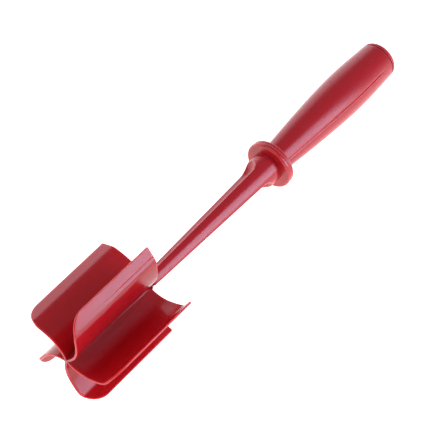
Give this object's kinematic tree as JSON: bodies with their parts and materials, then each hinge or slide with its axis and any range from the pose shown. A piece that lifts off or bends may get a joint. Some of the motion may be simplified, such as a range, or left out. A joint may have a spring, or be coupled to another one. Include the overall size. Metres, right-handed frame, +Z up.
{
  "type": "ground meat chopper",
  "caption": "Hand chopper for mince: thin curved blades round one axis, a tapered grooved stem, a guard collar and a barrel handle with a domed end cap.",
  "frame": {"origin": "centre of the footprint, on the surface the tool lies on", "axes": "+X from the blades towards the handle, +Z up; the tool lies at rest on two blade edges and the end of its handle, so its own axis falls 4.0 degrees towards +X"},
  "size_m": [0.2628, 0.057, 0.0576],
  "materials": {
    "blade_nylon": "satin gloss moulded nylon",
    "stem_nylon": "satin gloss moulded nylon",
    "handle_nylon": "satin gloss moulded nylon",
    "cap_nylon": "satin gloss moulded nylon"
  },
  "bodies": {
    "root": {"hub": "blade_nylon", "blade_1": "blade_nylon", "blade_2": "blade_nylon", "blade_3": "blade_nylon", "blade_4": "blade_nylon", "blade_5": "blade_nylon", "stem": "stem_nylon", "guard_collar": "stem_nylon", "handle": "handle_nylon", "end_cap": "cap_nylon"}
  },
  "joints": []
}
